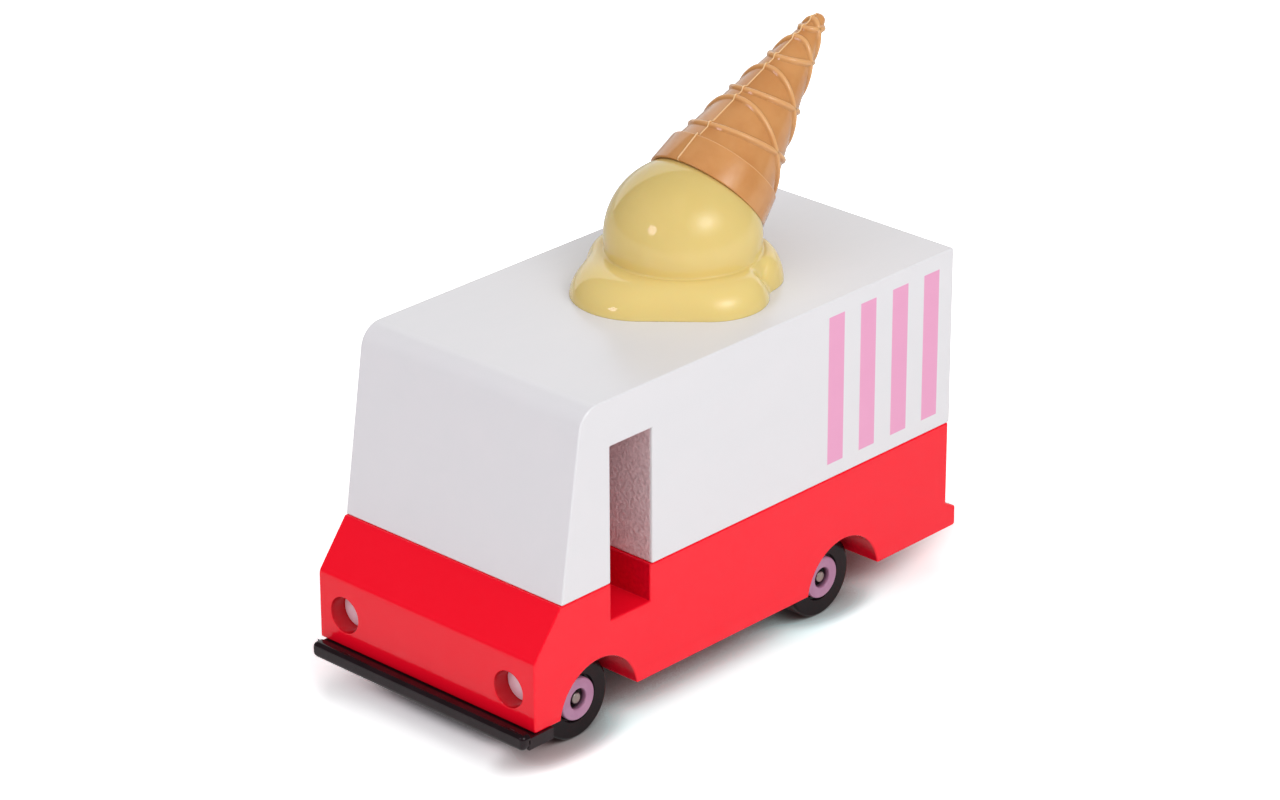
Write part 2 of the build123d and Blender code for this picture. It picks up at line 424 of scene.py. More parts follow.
shaded = blend_tones(
    floor_tree, under_toy, beside_red(shade_tone, shade_ahead), beside_red(edge_tone, edge_ahead)
)
lit = blend_tones(floor_tree, near_side, [far_tone] * 3, [open_tone] * 3)
seen_tone = blend_tones(floor_tree, beside_toy, shaded, lit)
# Painted shadows: soft dark ovals by the wheels and under the tail.
for x, y, half_long, half_wide, depth, shadow_red in painted_shadow_ovals:
    squares = []
    for axis, middle, half in (("X", x, half_long), ("Y", y, half_wide)):
        off = calculate(floor_tree, "SUBTRACT", floor_place[axis], middle * MM)
        share = calculate(floor_tree, "DIVIDE", off, half * MM)
        squares.append(product(floor_tree, share, share))
    oval_shadow = ramp(floor_tree, calculate(floor_tree, "ADD", *squares), 0.0, 1.0, depth, 0.0)
    seen_tone = blend_tones(floor_tree, oval_shadow, seen_tone, [shadow_red, 0.0, 0.0])
floor_shown = by_ray(
    floor_tree,
    card_shader(floor_tree, (floor_tone,) * 3),
    (("Is Camera Ray",), card_shader(floor_tree, seen_tone)),
)
floor_tree.links.new(floor_shown, floor_tree.nodes["Material Output"].inputs["Surface"])
floor.data.materials.append(floor_finish)
print(floor_finish.name, len(floor_tree.nodes), "nodes")

# %% [markdown]
# ## Red paint
#
# The lower block is sprayed with a thick gloss lacquer. It is smooth to the touch, but the spray
# leaves a faint orange peel and the sanded wood below a slow wave, and both show where a light is
# mirrored. The colour hardly varies, so noise moves it by only a few percent. In the two holes for
# the headlights the red is painted darker, as painted shade. The wheel pockets and the wall at the
# foot of the doorway are painted darker and streaky, as painted shade in these hollows.

# %% Find the holes and walls that get painted shade
lamp_low, lamp_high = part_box("headlight_left")
lamp_middle = (lamp_low + lamp_high) / 2
lamp_hole = (lamp_high.z - lamp_low.z) / 2
arch_gap = 1.8 * MM
wall_reach = 0.15 * MM


def in_round(tree, across, across_middle, up, up_middle, radius):
    """1 inside a round hole, its wall included, and 0 outside."""
    squares = []
    for socket, middle in ((across, across_middle), (up, up_middle)):
        off = calculate(tree, "SUBTRACT", socket, middle)
        squares.append(product(tree, off, off))
    away = calculate(tree, "SQRT", calculate(tree, "ADD", *squares), 0.0)
    return ramp(tree, away, radius + 0.05 * MM, radius + 0.2 * MM, 1.0, 0.0)


def between_sides(tree, across):
    """1 between the two sides of the block, and 0 on them and on their rounded edges."""
    out = calculate(tree, "ABSOLUTE", across, 0.0)
    return ramp(tree, out, side - 0.45 * MM, side - 0.15 * MM, 1.0, 0.0)


def in_lamp_hole(tree, place):
    """1 in the two round holes of the nose, and 0 elsewhere."""
    along, across, up = coordinates(tree, place)
    out = calculate(tree, "ABSOLUTE", across, 0.0)
    near = in_round(tree, out, lamp_middle.y, up, lamp_middle.z, lamp_hole)
    return product(tree, near, ramp(tree, along, lamp_low.x - 0.2 * MM, lamp_low.x))


def in_wheel_pocket(tree, place):
    """1 on the walls of the wheel pockets, and 0 elsewhere."""
    along, across, up = coordinates(tree, place)
    pockets = []
    for end in ("front", "rear"):
        low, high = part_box(f"{end}_left_tyre")
        middle = (low + high) / 2
        radius = (high.z - low.z) / 2 + arch_gap
        pockets.append(in_round(tree, along, middle.x, up, middle.z, radius))
    return product(tree, calculate(tree, "MAXIMUM", *pockets), between_sides(tree, across))


def on_doorway_wall(tree, place):
    """1 on the wall that rises behind the foot of the doorway, and 0 elsewhere."""
    along, across, up = coordinates(tree, place)
    at_wall = within(tree, along, red_jamb - wall_reach, red_jamb + wall_reach, 0.1 * MM)
    raised = ramp(tree, up, doorway_foot, doorway_foot + wall_reach)
    return product(tree, at_wall, raised, between_sides(tree, across))


print(f"lamp holes {2 * lamp_hole / MM:.1f} mm across")


# %% Mix the red paint
def red_gloss():
    finish, tree, shader, place = start_finish("red_gloss_paint", screen_tone(254, 12, 40), 0.1)
    cloud = noise(tree, place, 9 * MM)
    sprayed = blend_tones(tree, cloud, screen_tone(253, 10, 38), screen_tone(255, 14, 42))
    # Painted shade: the headlight holes get a darker red.
    lamp_hole_shade = blend_tones(tree, in_lamp_hole(tree, place), sprayed, screen_tone(206, 4, 26))
    # Painted shade: the wheel pockets and the doorway wall get a darker, mottled red.
    streaks = noise(tree, place, 0.8 * MM, 3)
    shaded_recess_mottle = blend_tones(tree, streaks, screen_tone(188, 2, 27), screen_tone(236, 8, 42))
    in_shaded_recess = calculate(tree, "MAXIMUM", in_wheel_pocket(tree, place), on_doorway_wall(tree, place))
    tree.links.new(blend_tones(tree, in_shaded_recess, lamp_hole_shade, shaded_recess_mottle), shader.inputs["Base Color"])
    peel = noise(tree, place, 1.1 * MM, 3)
    wave = noise(tree, place, 7 * MM, 1)
    tree.links.new(ramp(tree, peel, 0.3, 0.7, 0.08, 0.14), shader.inputs["Roughness"])
    shader.inputs["Specular IOR Level"].default_value = 0.42
    raise_bumps(tree, shader, ((wave, 0.03 * MM), (peel, 0.006 * MM)))
    return finish


red_paint = red_gloss()
print(red_paint.name, len(red_paint.node_tree.nodes), "nodes")

# %% [markdown]
# ## White paint with printed stripes
#
# The upper block is satin white. Four upright pink stripes are printed near the rear, on both
# sides. A print follows the block, so it is placed by the block's own coordinates, and a band
# mask along the length, one up the height and one for the two flat sides are multiplied.
# Inside the doorway the paint is rough, and painted shade makes it grey, with a painted pink of red light
# from below.

# %% Mix the white paint
stripes = ((28.7, 32.7), (20.5, 24.5), (12.1, 16.2), (3.85, 7.9))
stripe_foot = 32.35 * MM
stripe_head = 59.75 * MM


def white_satin():
    finish, tree, shader, place = start_finish("white_satin_paint", screen_tone(230, 229, 232), 0.28)
    along, across, up = coordinates(tree, place)
    out = calculate(tree, "ABSOLUTE", across, 0.0)

    grain = noise(tree, place, 6 * MM, 3, (0.35, 1, 1))
    peel = noise(tree, place, 0.8 * MM, 3)
    white = blend_tones(tree, grain, screen_tone(229, 229, 232), screen_tone(233, 231, 234))

    print_soft = 0.08 * MM
    bands = None
    for start, end in stripes:
        band = within(tree, along, rear + start * MM, rear + end * MM, print_soft)
        bands = band if bands is None else calculate(tree, "MAXIMUM", bands, band)
    on_side = ramp(tree, out, side - 0.3 * MM, side - 0.1 * MM)
    tall = within(tree, up, stripe_foot, stripe_head, print_soft)
    printed = product(tree, bands, tall, on_side)
    pink = blend_tones(tree, grain, screen_tone(236, 162, 200), screen_tone(240, 168, 205))
    coat = blend_tones(tree, printed, white, pink)

    ragged = product(tree, noise(tree, place, 0.9 * MM, 3), 0.5 * MM)
    inner_length = within(tree, along, doorway_rear - 0.1 * MM, doorway_front + 0.1 * MM, 0.1 * MM)
    inner_width = ramp(tree, calculate(tree, "ADD", out, ragged), side - 0.1 * MM, side - 0.4 * MM)
    inner_height = ramp(tree, up, doorway_head + 0.1 * MM, doorway_head)
    inside = product(tree, inner_length, inner_width, inner_height)
    shaded_recess_mottle = noise(tree, place, 0.7 * MM, 3)
    # Painted shade in the doorway: grey, with painted pink light bounced from the red below.
    doorway_shade = blend_tones(tree, shaded_recess_mottle, screen_tone(196, 166, 170), screen_tone(252, 226, 228))
    tree.links.new(blend_tones(tree, inside, coat, doorway_shade), shader.inputs["Base Color"])
    tree.links.new(ramp(tree, inside, 0, 1, 0.24, 0.5), shader.inputs["Roughness"])

    rough_height = product(tree, shaded_recess_mottle, inside)
    raise_bumps(tree, shader, ((grain, 0.03 * MM), (peel, 0.008 * MM), (rough_height, 0.3 * MM)))
    return finish


white_paint = white_satin()
print(white_paint.name, len(white_paint.node_tree.nodes), "nodes")

# %% [markdown]
# ## Plastics and steel
#
# The bumper and chassis are one glossy moulding, nearly black. The tyres are the same kind of
# plastic with a duller face. The headlights and the wheels' discs are pale inserts. The scoop and
# cone are glossy, and let a little light in under the surface, as thick soft plastic does.

# %% Mix the plastics
def plastic(name, tone, other_tone, roughness, patch, peel_size, peel_depth, glow=0.0, mirror=0.5):
    """A moulded plastic: two close tones in slow patches, and a fine uneven skin."""
    finish, tree, shader, place = start_finish(name, tone, roughness)
    patches = noise(tree, place, patch, 3)
    colour = blend_tones(tree, ramp(tree, patches, 0.35, 0.65), tone, other_tone)
    tree.links.new(colour, shader.inputs["Base Color"])
    peel = noise(tree, place, peel_size, 3)
    dullness = ramp(tree, peel, 0.3, 0.7, roughness * 0.85, roughness * 1.2)
    tree.links.new(dullness, shader.inputs["Roughness"])
    shader.inputs["Specular IOR Level"].default_value = mirror
    if glow:
        shader.inputs["Subsurface Weight"].default_value = glow
        shader.inputs["Subsurface Radius"].default_value = (1.0, 0.6, 0.25)
        shader.inputs["Subsurface Scale"].default_value = 1.0 * MM
    raise_bumps(tree, shader, ((patches, peel_depth * 2), (peel, peel_depth)))
    return finish


black_gloss = plastic(
    "black_gloss_moulding", screen_tone(26, 15, 19), screen_tone(32, 20, 25),
    roughness=0.1, patch=5 * MM, peel_size=1.4 * MM, peel_depth=0.02 * MM, mirror=0.35,
)
tyre_satin = plastic(
    "tyre_plastic", screen_tone(17, 11, 14), screen_tone(22, 15, 18),
    roughness=0.14, patch=4 * MM, peel_size=0.9 * MM, peel_depth=0.012 * MM, mirror=0.22,
)
mauve_disc = plastic(
    "mauve_disc_plastic", screen_tone(178, 128, 163), screen_tone(186, 138, 171),
    roughness=0.4, patch=3 * MM, peel_size=0.6 * MM, peel_depth=0.01 * MM,
)
lamp_disc = plastic(
    "pale_lamp_plastic", screen_tone(246, 214, 226), screen_tone(250, 222, 232),
    roughness=0.38, patch=3 * MM, peel_size=0.6 * MM, peel_depth=0.01 * MM,
)
scoop_gloss = plastic(
    "custard_plastic", screen_tone(210, 185, 112), screen_tone(215, 190, 119),
    roughness=0.07, patch=9 * MM, peel_size=3 * MM, peel_depth=0.002 * MM, glow=0.25,
)
cone_satin = plastic(
    "biscuit_plastic", screen_tone(202, 140, 84), screen_tone(210, 150, 93),
    roughness=0.13, patch=6 * MM, peel_size=1.2 * MM, peel_depth=0.012 * MM, glow=0.12,
)


print("six plastics, of which", scoop_gloss.name, "and", cone_satin.name, "let light in")


# %% Paint light on the foot of the scoop
def tint(finish, share_of, tone):
    """Moves a finish's colour to a tone where share_of, a function of tree and place, gives 1."""
    tree = finish.node_tree
    colour = tree.nodes["Principled BSDF"].inputs["Base Color"]
    place = tree.nodes["Texture Coordinate"].outputs["Object"]
    share = share_of(tree, place)
    tree.links.new(blend_tones(tree, share, colour.links[0].from_socket, tone), colour)


def painted_roof_bounce(tree, place):
    """1 at the foot of the scoop, painted lighter for light bounced up from the white roof, to 0 at the
    top.
    """
    return ramp(tree, coordinates(tree, place)["Z"], roof + 3 * MM, roof + 31 * MM, 1.0, 0.0)


# Painted light: the foot of the scoop is made lighter, for light bounced up from the roof.
tint(scoop_gloss, painted_roof_bounce, screen_tone(233, 208, 132))
print(scoop_gloss.name, len(scoop_gloss.node_tree.nodes), "nodes")


# %% Mix the steel
def cut_steel():
    """The sawn end of a rod: fine marks across it, a little dull."""
    finish, tree, shader, place = start_finish("cut_steel", screen_tone(180, 172, 166), 0.4)
    shader.inputs["Metallic"].default_value = 1
    marks = noise(tree, place, 0.25 * MM, 3, (1, 1, 0.2))
    sawn = blend_tones(tree, marks, screen_tone(150, 142, 138), screen_tone(196, 188, 180))
    tree.links.new(sawn, shader.inputs["Base Color"])
    raise_bumps(tree, shader, ((marks, 0.02 * MM),))
    return finish


steel = cut_steel()
print(steel.name, len(steel.node_tree.nodes), "nodes")

# %% [markdown]
# ## Wooden blocks with sanded edges
#
# The solid blocks have hard edges, which catch no light. On the real toy each edge was sanded
# round before painting. We take a copy of the solid's mesh, merge its loose triangles, dissolve
# the flat ones into whole faces and bevel the edges that turn sharply. The weighted normals keep
# the big faces flat right up to the round edge.

# %% Turn a shape into a piece, and round its edges
def add_piece(name, shape, finish, body, slot, *stands_for):
    """Puts a finished shape in the scene as a piece that rides on a body."""
    mesh = bpy.data.meshes.new(name)
    shape.to_mesh(mesh)
    shape.free()
    mesh.shade_smooth()
    mesh.materials.append(finish)
    piece = bpy.data.objects.new(name, mesh)
    bpy.context.collection.objects.link(piece)
    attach(piece, body)
    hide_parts(*stands_for)
    print(f"{name}: {len(mesh.polygons)} faces")
    return piece


def keep_flats(piece):
    """Shades large faces flat and only the narrow ones round."""
    weights = piece.modifiers.new("flat_faces", "WEIGHTED_NORMAL")
    weights.keep_sharp = False
    weights.weight = 100


def join_shape(shape, part):
    """Adds a part to a shape and frees the part."""
    spare = bpy.data.meshes.new("spare")
    part.to_mesh(spare)
    part.free()
    shape.from_mesh(spare)
    bpy.data.meshes.remove(spare)


def round_edges(shape, edges, radius, steps):
    """Rounds edges of a shape."""
    bmesh.ops.bevel(
        shape, geom=edges, offset=radius, offset_type="OFFSET", affect="EDGES", segments=steps,
        profile=0.5, material=-1, clamp_overlap=True,
    )


sharp_turn = radians(28)
flat_turn = radians(1)
solid_doubles = 0.002 * MM
tiny = 0.001 * MM
hair = 0.01 * MM


def sharp_edges(shape):
    """The edges at which a closed shape turns by more than a few facets of a round would."""
    return [e for e in shape.edges if len(e.link_faces) == 2 and e.calc_face_angle() > sharp_turn]


def sanded_copy(node, edge, steps=3, cuts=()):
    """A copy of a solid's mesh with its sharp edges rounded. A cut is a place and the way it clears."""
    shape = bmesh.new()
    shape.from_mesh(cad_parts[node].data)
    bmesh.ops.remove_doubles(shape, verts=shape.verts, dist=solid_doubles)
    for place, way in cuts:
        bmesh.ops.bisect_plane(
            shape, geom=shape.verts[:] + shape.edges[:] + shape.faces[:], dist=tiny,
            plane_co=place, plane_no=way, clear_outer=True,
        )
        bmesh.ops.holes_fill(shape, edges=[e for e in shape.edges if e.is_boundary], sides=0)
    bmesh.ops.dissolve_limit(shape, angle_limit=flat_turn, verts=shape.verts, edges=shape.edges)
    sharp = sharp_edges(shape)
    round_edges(shape, sharp, edge, steps)
    print(f"{node}: {len(sharp)} sharp edges rounded")
    return shape


print(f"edges that turn by more than {degrees(sharp_turn):.0f} degrees are rounded")

# %% Sand the two blocks
for node, finish, slot, edge in (
    ("lower_body", red_paint, "red_paint", 0.4 * MM),
    ("upper_body", white_paint, "white_paint", 0.35 * MM),
):
    keep_flats(add_piece(f"{node}_finished", sanded_copy(node, edge), finish, "truck", slot, node))

# %% [markdown]
# ## Bumper
#
# The bar across the nose is the end of the black moulding. Its ends are nearly half round and its
# front is soft. The copy of the solid ends inside the bar, and the bar is made anew: a block whose
# four lengthwise corners at the ends are rounded first, and then the rim of its front and back.
# In the photograph its right end stops a little short of the wood, so bar and plate end there.

# %% Shape the bumper
bar_thick = 1.9 * MM
bar_foot = 6.55 * MM
bar_head = 9.45 * MM
bar_end_round = 1.05 * MM
bar_front_round = 0.85 * MM
bar_back_round = 0.12 * MM
plate_in_bar = 0.4 * MM
plate_edge = 0.25 * MM
right_end_short = 1.6 * MM
chassis_low, chassis_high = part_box("chassis")
bar_back = chassis_high.x - bar_thick

bar = bmesh.new()
bmesh.ops.create_cube(bar, size=1)
bar_right = chassis_low.y + right_end_short
bmesh.ops.scale(bar, vec=(bar_thick, chassis_high.y - bar_right, bar_head - bar_foot), verts=bar.verts)
bar_middle = Vector((bar_back + bar_thick / 2, (chassis_high.y + bar_right) / 2, (bar_foot + bar_head) / 2))
bmesh.ops.translate(bar, vec=bar_middle, verts=bar.verts)
lengthwise = [e for e in bar.edges if abs(e.verts[0].co.x - e.verts[1].co.x) > bar_thick / 2]
round_edges(bar, lengthwise, bar_end_round, steps=7)
for place, radius in ((chassis_high.x, bar_front_round), (bar_back, bar_back_round)):
    rim = [e for e in sharp_edges(bar) if max(abs(v.co.x - place) for v in e.verts) < hair]
    round_edges(bar, rim, radius, steps=5)
inside_bar = (bar_back + plate_in_bar, 0, 0)
plate_right = (0, bar_right, 0)
cuts = ((inside_bar, (1, 0, 0)), (plate_right, (0, -1, 0)))
chassis_shape = sanded_copy("chassis", plate_edge, cuts=cuts)
join_shape(chassis_shape, bar)
keep_flats(add_piece("chassis_finished", chassis_shape, black_gloss, "truck", "black_plastic", "chassis"))

# %% [markdown]
# ## Turned pieces
#
# Headlight discs, axles, tyres and wheel discs are all round, so half of the section of each is
# spun about its axis. The section is a wire of a few points. Its corners are rounded while it is
# still a wire, by a vertex bevel, and a section that starts and ends on the axis closes there.

# %% Spin a section
spun_doubles = 0.0005 * MM


def turned(section, place, way, steps, out=(0, 0, 1)):
    """A closed round piece. The section's rows: distance along the axis, distance from it, corner."""
    shape = bmesh.new()
    way = Vector(way)
    out = Vector(out)
    points = [shape.verts.new(place + way * along + out * away) for along, away, corner in section]
    for pair in zip(points, points[1:]):
        shape.edges.new(pair)
    for point, (along, away, corner) in zip(points, section):
        if corner:
            bmesh.ops.bevel(
                shape, geom=[point], offset=corner, offset_type="OFFSET", affect="VERTICES",
                segments=5, profile=0.5, material=-1,
            )
    wire = shape.verts[:] + shape.edges[:]
    bmesh.ops.spin(
        shape, geom=wire, cent=place, axis=way, dvec=(0, 0, 0), angle=2 * pi, steps=steps,
        use_merge=True, use_duplicate=False,
    )
    bmesh.ops.remove_doubles(shape, verts=shape.verts, dist=spun_doubles)
    bmesh.ops.recalc_face_normals(shape, faces=shape.faces)
    return shape


print(f"spun points nearer than {spun_doubles / MM} mm are merged")

# %% [markdown]
# ## Headlights
#
# Each headlight is a pale disc at the bottom of a round hole in the nose, glued in. Its face is
# slightly domed and its edge is rounded, so a thin dark line stays between it and the hole.

# %% Make the headlights
dome_rise = 0.25 * MM
dome_flat = 0.45

for hand in ("left", "right"):
    node = f"headlight_{hand}"
    low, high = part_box(node)
    centre = (low + high) / 2
    radius = (high.z - low.z) / 2
    thick = high.x - low.x
    section = (
        (0, 0, 0),
        (0, radius, 0.1 * MM),
        (thick - dome_rise, radius, 0.2 * MM),
        (thick, radius * dome_flat, 0.4 * MM),
        (thick, 0, 0),
    )
    disc = turned(section, Vector((low.x, centre.y, centre.z)), (1, 0, 0), steps=64)
    keep_flats(add_piece(f"{node}_disc", disc, lamp_disc, "truck", "lamp_plastic", node))

# %% [markdown]
# ## Wheels
#
# Each axle with its two wheels turns as one. The tyre is a thick black ring with a boss behind
# it, its tread edges only broken. A mauve disc sits in its face and stands out a little, with a
# groove round it, and the sawn end of the axle shows in the hole of the disc.

# %% Make the wheels
disc_radius = 3.8 * MM
disc_hole = 1.85 * MM
groove = 0.45 * MM
seat_depth = 0.8 * MM
boss_radius = 2.4 * MM
boss_length = 1.15 * MM
tread_edge = 0.5 * MM
rod_end_round = 0.28 * MM

for end in ("front", "rear"):
    body = f"{end}_wheelset"
    axle_low, axle_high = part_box(f"{end}_axle")
    hub = (axle_low + axle_high) / 2
    rod = (axle_high.z - axle_low.z) / 2
    reach = axle_high.y
    section = ((-reach, 0, 0), (-reach, rod, rod_end_round), (reach, rod, rod_end_round), (reach, 0, 0))
    axle = turned(section, hub, (0, 1, 0), steps=48)
    keep_flats(add_piece(f"{end}_axle_rod", axle, steel, body, "axle_steel", f"{end}_axle"))
    for hand, out in (("left", 1), ("right", -1)):
        low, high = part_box(f"{end}_{hand}_tyre")
        tyre_radius = (high.z - low.z) / 2
        face = max(out * low.y, out * high.y)
        boss_end = min(out * low.y, out * high.y)
        back = boss_end + boss_length
        section = (
            (boss_end, rod, 0),
            (boss_end, boss_radius, 0.15 * MM),
            (back, boss_radius, 0),
            (back, tyre_radius, tread_edge),
            (face, tyre_radius, tread_edge),
            (face, disc_radius + groove, 0.2 * MM),
            (face - seat_depth, disc_radius + groove, 0),
            (face - seat_depth, rod, 0),
            (boss_end, rod, 0),
        )
        tyre = turned(section, hub, (0, out, 0), steps=96)
        keep_flats(add_piece(
            f"{end}_{hand}_tyre_ring", tyre, tyre_satin, body, "tyre_plastic", f"{end}_{hand}_tyre"
        ))
        low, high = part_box(f"{end}_{hand}_hub")
        disc_face = max(out * low.y, out * high.y)
        disc_back = min(out * low.y, out * high.y)
        section = (
            (disc_back, disc_hole, 0),
            (disc_back, disc_radius, 0.1 * MM),
            (disc_face, disc_radius, 0.3 * MM),
            (disc_face, disc_hole, 0.25 * MM),
            (disc_back, disc_hole, 0),
        )
        disc = turned(section, hub, (0, out, 0), steps=72)
        keep_flats(add_piece(
            f"{end}_{hand}_wheel_disc", disc, mauve_disc, body, "hub_plastic", f"{end}_{hand}_hub"
        ))

# %% [markdown]
# ## Melted scoop
#
# A ball of ice cream stands in a puddle that has run out in thick lobes. It is one moulding. One
# section is spun: down the ball, through a small hollow at the crease, out over the bulge of the
# puddle and down to the roof. The puddle's part is then drawn out to its lobes. How far it
# reaches at a bearing is found from circles, two to a lobe and some between them, each given by
# its bearing, its distance from the ball's axis and its radius. A soft maximum rounds off the
# valleys where two lobes meet. In a valley the puddle also lies lower.

# %% Work out how far the puddle reaches
ball_centre = Vector((-11.2, 0, 70.45)) * MM
ball_radius = 13.65 * MM
crease_height = 5.3 * MM
crease_hollow = 0.35 * MM
crown_flat = 2.5
crown_round = 0.6
crown_swell = 0.3 * MM
puddle_core = 12.5
lobe_pairs = (
    ((-4, 9.75, 12.2), (69, 9.8, 10.3)),
    ((132, 8.2, 9.0), (166, 6.0, 9.0)),
    ((-78, 7.0, 10.8), (-128, 6.4, 9.2)),
)
valleys = ((105, 9, 0.5), (-41, 16, 0.12), (-165, 12, 0.4))
valley_softness = 0.6
valley_start = 0.4
steps_between = 8


def circle_reach(bearing, centre_x, centre_y, radius):
    """How far from the ball's axis a circle reaches at a bearing, or 0 where it is missed."""
    along = centre_x * cos(bearing) + centre_y * sin(bearing)
    across = centre_y * cos(bearing) - centre_x * sin(bearing)
    if abs(across) >= radius:
        return 0.0
    return along + sqrt(radius * radius - across * across)


def pair_reach(bearing, pair):
    """The reach of two lobes and of the hull between them."""
    (b1, d1, r1), (b2, d2, r2) = pair
    x1, y1 = d1 * cos(radians(b1)), d1 * sin(radians(b1))
    x2, y2 = d2 * cos(radians(b2)), d2 * sin(radians(b2))
    shares = [i / steps_between for i in range(steps_between + 1)]
    return max(
        circle_reach(bearing, x1 + (x2 - x1) * s, y1 + (y2 - y1) * s, r1 + (r2 - r1) * s) for s in shares
    )


def puddle_reach(bearing):
    """The puddle's reach in metres, with soft valleys."""
    reaches = [puddle_core] + [pair_reach(bearing, pair) for pair in lobe_pairs]
    return valley_softness * log(sum(exp(r / valley_softness) for r in reaches)) * MM


def valley_share(bearing):
    """How much of its height the puddle loses to a valley at a bearing."""
    off = [(degrees(bearing) - middle + 180) % 360 - 180 for middle, width, depth in valleys]
    return max(depth * exp(-((o / width) ** 2)) for o, (middle, width, depth) in zip(off, valleys))


print(f"the puddle reaches {puddle_reach(0) / MM:.1f} mm ahead of the ball's axis")

# %% Spin the scoop and draw out its lobes
above_crease = roof + crease_height + crease_hollow - ball_centre.z
crease_angle = acos(above_crease / ball_radius)
crease_radius = ball_radius * sin(crease_angle)
puddle_start = crease_radius + crease_hollow
start_reach = 22 * MM
ball_rows = 40
hollow_rows = 8
bulge_rows = 36


def scoop_section():
    """Height and distance out, from the top of the ball to the middle of its foot."""
    rows = []
    for i in range(ball_rows + 1):
        angle = crease_angle * i / ball_rows
        rows.append((ball_centre.z + ball_radius * cos(angle), ball_radius * sin(angle)))
    for i in range(1, hollow_rows + 1):
        angle = pi / 2 * i / hollow_rows
        low = roof + crease_height + crease_hollow * (1 - sin(angle))
        rows.append((low, puddle_start - crease_hollow * cos(angle)))
    for i in range(1, bulge_rows + 1):
        share = sin(pi / 2 * i / bulge_rows)
        crown = crease_height * (1 - share**crown_flat) ** crown_round
        crown += crown_swell * sin(pi * share) * (1 - share)
        rows.append((roof + crown, puddle_start + (start_reach - puddle_start) * share))
    rows.append((roof, 0))
    return rows


shape = bmesh.new()
wire = [shape.verts.new((ball_centre.x + out, 0, height)) for height, out in scoop_section()]
for pair in zip(wire, wire[1:]):
    shape.edges.new(pair)
bmesh.ops.spin(
    shape, geom=shape.verts[:] + shape.edges[:], cent=ball_centre, axis=(0, 0, 1), dvec=(0, 0, 0),
    angle=2 * pi, steps=240, use_merge=True, use_duplicate=False,
)
bmesh.ops.remove_doubles(shape, verts=shape.verts, dist=spun_doubles)
for point in shape.verts:
    from_axis = Vector((point.co.x - ball_centre.x, point.co.y))
    if from_axis.length > puddle_start + tiny:
        bearing = atan2(from_axis.y, from_axis.x)
        share = (from_axis.length - puddle_start) / (start_reach - puddle_start)
        new_length = puddle_start + share * (puddle_reach(bearing) - puddle_start)
        from_axis *= new_length / from_axis.length
        point.co.x = ball_centre.x + from_axis.x
        point.co.y = from_axis.y
        lower = valley_share(bearing) * min(1.0, share / valley_start)
        point.co.z = roof + (point.co.z - roof) * (1 - lower)
bmesh.ops.recalc_face_normals(shape, faces=shape.faces)
add_piece("melted_scoop", shape, scoop_gloss, "truck", "scoop_plastic", "scoop")

# %% [markdown]
# ## Cone
#
# The cone is turned about its own leaning axis: a collar with a crisp upper edge at its mouth,
# then the tapering cone to a rounded tip.

# %% Turn the cone
cone_lean = radians(49.8)
cone_way = Vector((-sin(cone_lean), 0, cos(cone_lean)))
cone_front = Vector((cos(cone_lean), 0, sin(cone_lean)))
cone_side = Vector((0, 1, 0))
cone_shift = 0.65 * MM
cone_foot = ball_centre + cone_front * cone_shift
mouth, shoulder, tip = 8.1 * MM, 13.9 * MM, 46.3 * MM
mouth_radius, collar_radius, start_radius, tip_radius = 11.15 * MM, 10.4 * MM, 9.7 * MM, 1.0 * MM
taper = (tip_radius - start_radius) / (tip - shoulder)
cone_rounding = (
    (mouth + 0.3 * MM, 0, 0),
    (mouth + 0.3 * MM, mouth_radius - 0.9 * MM, 0),
    (mouth, mouth_radius - 0.6 * MM, 0.1 * MM),
    (mouth, mouth_radius, 0.2 * MM),
    (shoulder, collar_radius, 0.22 * MM),
    (shoulder, start_radius, 0.15 * MM),
    (tip, tip_radius, 0.85 * MM),
    (tip, 0, 0),
)
cone_shape = turned(cone_rounding, cone_foot, cone_way, steps=192, out=cone_front)
print(f"cone {(tip - mouth) / MM:.1f} mm long")

# %% [markdown]
# ## Waffle ribs and parting lines
#
# The waffle ribs are rings that lean to the front and to the back in turn, so they cross at both
# sides. Each starts as a level ring with a bell-shaped section. Its points are then laid anew
# where a tilted plane meets the cone, with the section's width measured square to the rib. A
# plane crosses the cone at the bearing b where
# along = c + m * cos(b - high side) * radius(along), and the radius is itself linear in along.
# A thin line of the mould runs over the ribs at the front and back. Both, and the collar's edge,
# are painted paler than the cone, as painted highlights.

# %% Find a place on the cone
rib_height = 0.5 * MM
rib_half_width = 0.72 * MM
rib_crown = 1.4
rib_root = 0.3 * MM
rib_sink = 0.02 * MM
rib_run_in = 0.5 * MM
level_ring = 10 * MM
rib_points = 14
rib_steps = 144
cone_ribs = (
    (0.154, 13, 164),
    (0.151, 36, 6),
    (0.435, 17, 176),
    (0.432, 40, 9),
    (0.713, 30, 180),
    (0.694, 52, 20),
    (0.917, 36, 177),
    (0.880, 55, 1),
)
parting_half_width = 0.17 * MM
parting_height = 0.24 * MM
parting_root = 0.15 * MM
parting_start = mouth + 0.2 * MM
parting_end = tip - 0.5 * MM
parting_steps = 220


def rib_place(rib, bearing):
    """How far along the cone's axis a rib crosses a bearing."""
    part_way, tilt, high_side = rib
    slope = tan(radians(tilt)) * cos(bearing - radians(high_side))
    middle = shoulder + part_way * (tip - shoulder)
    return (middle + slope * (start_radius - taper * shoulder)) / (1 - slope * taper)


def surface_radius(along):
    """The bare radius of the collar or the cone."""
    if along < shoulder:
        return mouth_radius + (collar_radius - mouth_radius) * (along - mouth) / (shoulder - mouth)
    return start_radius + taper * (along - shoulder)


